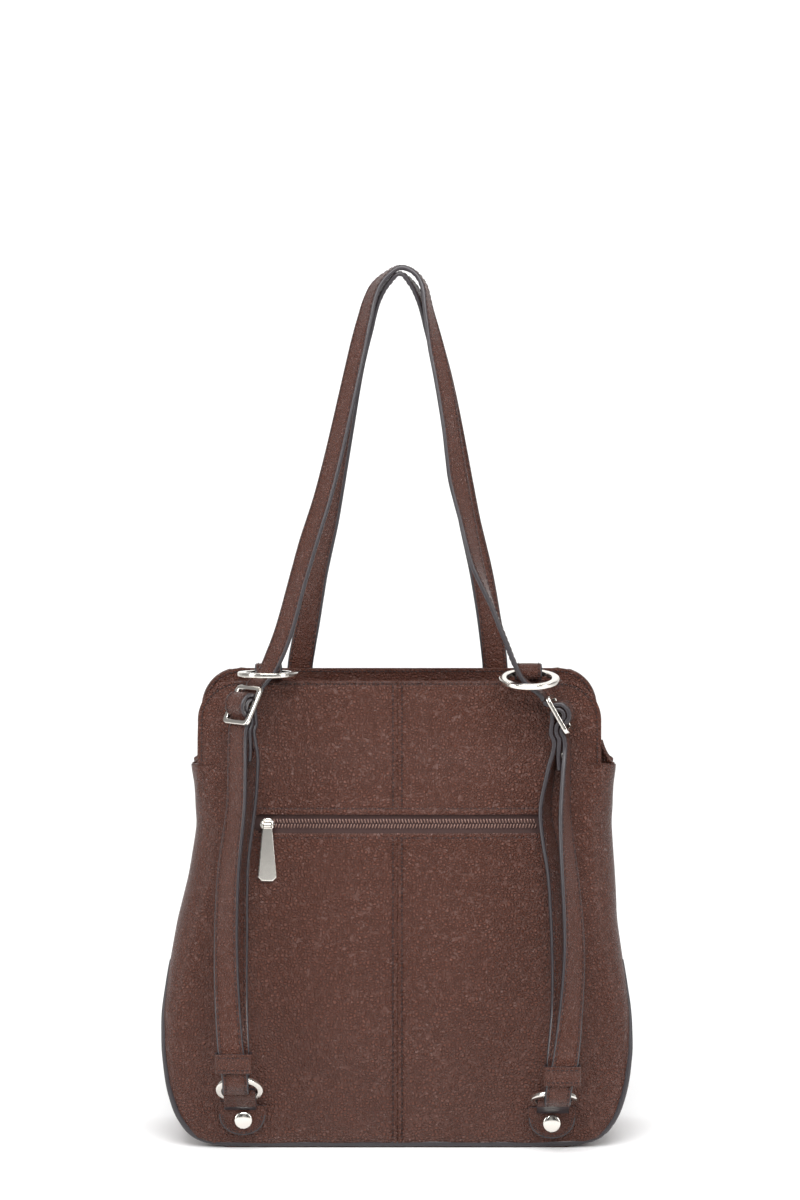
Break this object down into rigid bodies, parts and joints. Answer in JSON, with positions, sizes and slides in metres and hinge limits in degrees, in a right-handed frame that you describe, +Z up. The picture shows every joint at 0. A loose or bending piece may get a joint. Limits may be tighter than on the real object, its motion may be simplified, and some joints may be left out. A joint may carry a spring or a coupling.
{
  "type": "convertible backpack",
  "caption": "Soft leather bag with an open mouth, a long strap that runs through rings and slides to serve as shoulder strap or backpack straps, and a zip pocket.",
  "frame": {"origin": "middle of the footprint of the whole bag, on the floor", "axes": "+Z up, -Y towards the pocket zip and the shoulder straps, +X to the right of someone who looks at that side"},
  "size_m": [0.3014, 0.154, 0.5618],
  "materials": {
    "leather": "pebbled brown leather, semi matte",
    "edge_paint": "dark grey edge paint over a bound seam",
    "nickel": "polished nickel plate",
    "tape_cloth": "woven zip tape",
    "coil": "bronze coloured zip teeth"
  },
  "bodies": {
    "bag": {"back_panel": "leather", "front_panel": "leather", "gusset_base": "leather", "rim_facing_back": "leather", "rim_facing_front": "leather", "strap_left_run": "leather", "strap_right_run": "leather", "strap_arch": "leather", "handle_strap": "leather", "top_ring_tab_left": "leather", "top_ring_tab_right": "leather", "keeper_left": "leather", "keeper_right": "leather", "anchor_left": "leather", "anchor_right": "leather", "base_binding_back": "edge_paint", "base_binding_front": "edge_paint", "zip_slider": "nickel", "slide_left": "nickel", "slide_right": "nickel", "top_ring_left": "nickel", "top_ring_right": "nickel", "lower_ring_left": "nickel", "lower_ring_right": "nickel", "anchor_rivet_left": "nickel", "anchor_rivet_right": "nickel", "end_rivet_left": "nickel", "end_rivet_right": "nickel", "zip_tape": "tape_cloth", "zip_coil": "coil"},
    "pull": {"zip_pull": "nickel"}
  },
  "joints": [
    {"name": "pull_swing", "type": "hinge", "parent": "bag", "child": "pull", "pos_m": [-0.08266, -0.0271, 0.2066], "axis": [-1, 0, 0], "range_deg": [0, 150]}
  ]
}
